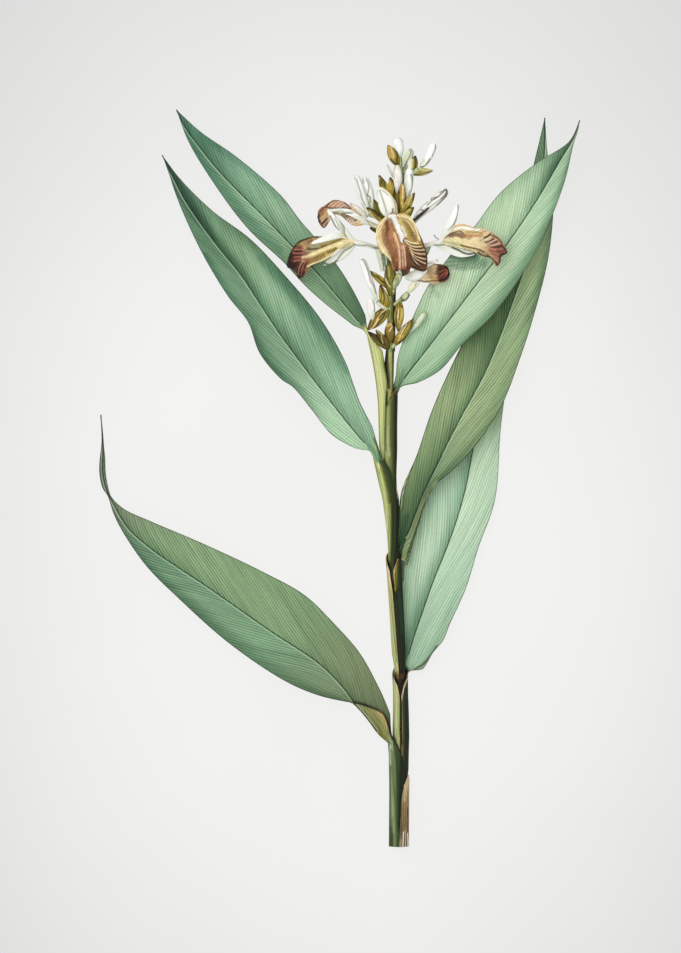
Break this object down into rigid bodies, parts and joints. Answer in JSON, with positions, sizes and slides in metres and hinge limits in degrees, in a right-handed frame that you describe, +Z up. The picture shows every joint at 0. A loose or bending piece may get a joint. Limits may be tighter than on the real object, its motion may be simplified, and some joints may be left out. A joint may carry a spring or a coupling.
{
  "type": "cut flowering ginger stem",
  "caption": "Cut flowering shoot of an erect ginger, lying down: clasping leaves on a cane, ended by a head of white buds, olive bracts and open flowers with veined tan and maroon lips.",
  "frame": {"origin": "middle of the footprint of the lying shoot, on the surface that it lies on", "axes": "+Y along the shoot from its cut end towards the flowers, +Z up from the surface, +X to the right of the shoot seen from above"},
  "size_m": [0.2504, 0.3842, 0.0435],
  "materials": {
    "leaf_green": "satin leaf with fine veins",
    "leaf_pale": "satin pale leaf with fine veins",
    "leaf_olive": "satin olive leaf with fine veins",
    "cane_green": "smooth satin stem",
    "bract_olive": "satin bracts and flower stalks",
    "dry_scale": "dry papery scale",
    "petal_white": "soft waxy petal",
    "lip": "waxy lip, cream to maroon with branching veins"
  },
  "bodies": {
    "root": {"cane": "cane_green", "old_scale": "dry_scale", "leaf_lowest_left": "leaf_green", "leaf_lowest_right": "leaf_pale", "leaf_middle_right": "leaf_olive", "leaf_middle_left": "leaf_green", "leaf_top_right": "leaf_pale", "leaf_top_left": "leaf_green", "flower_stalk": "bract_olive", "flower_centre_petals": "petal_white", "flower_left_petals": "petal_white", "flower_upper_left_petals": "petal_white", "flower_right_petals": "petal_white", "flower_lower_right_petals": "petal_white", "bud_crown": "petal_white", "bud_crown_right": "petal_white", "bud_far_right": "petal_white", "bud_upper": "petal_white", "bud_upper_right": "petal_white", "bud_upper_left": "petal_white", "bud_two_lobed": "petal_white", "bud_striped": "petal_white", "bud_right_low": "petal_white", "bud_left_long": "petal_white", "bud_left_low": "petal_white", "bud_lowest_right": "petal_white", "bud_centre": "petal_white", "bud_behind_lip": "petal_white", "flower_centre_lip": "lip", "flower_left_lip": "lip", "flower_upper_left_lip": "lip", "flower_right_lip": "lip", "flower_lower_right_lip": "lip"}
  },
  "joints": []
}
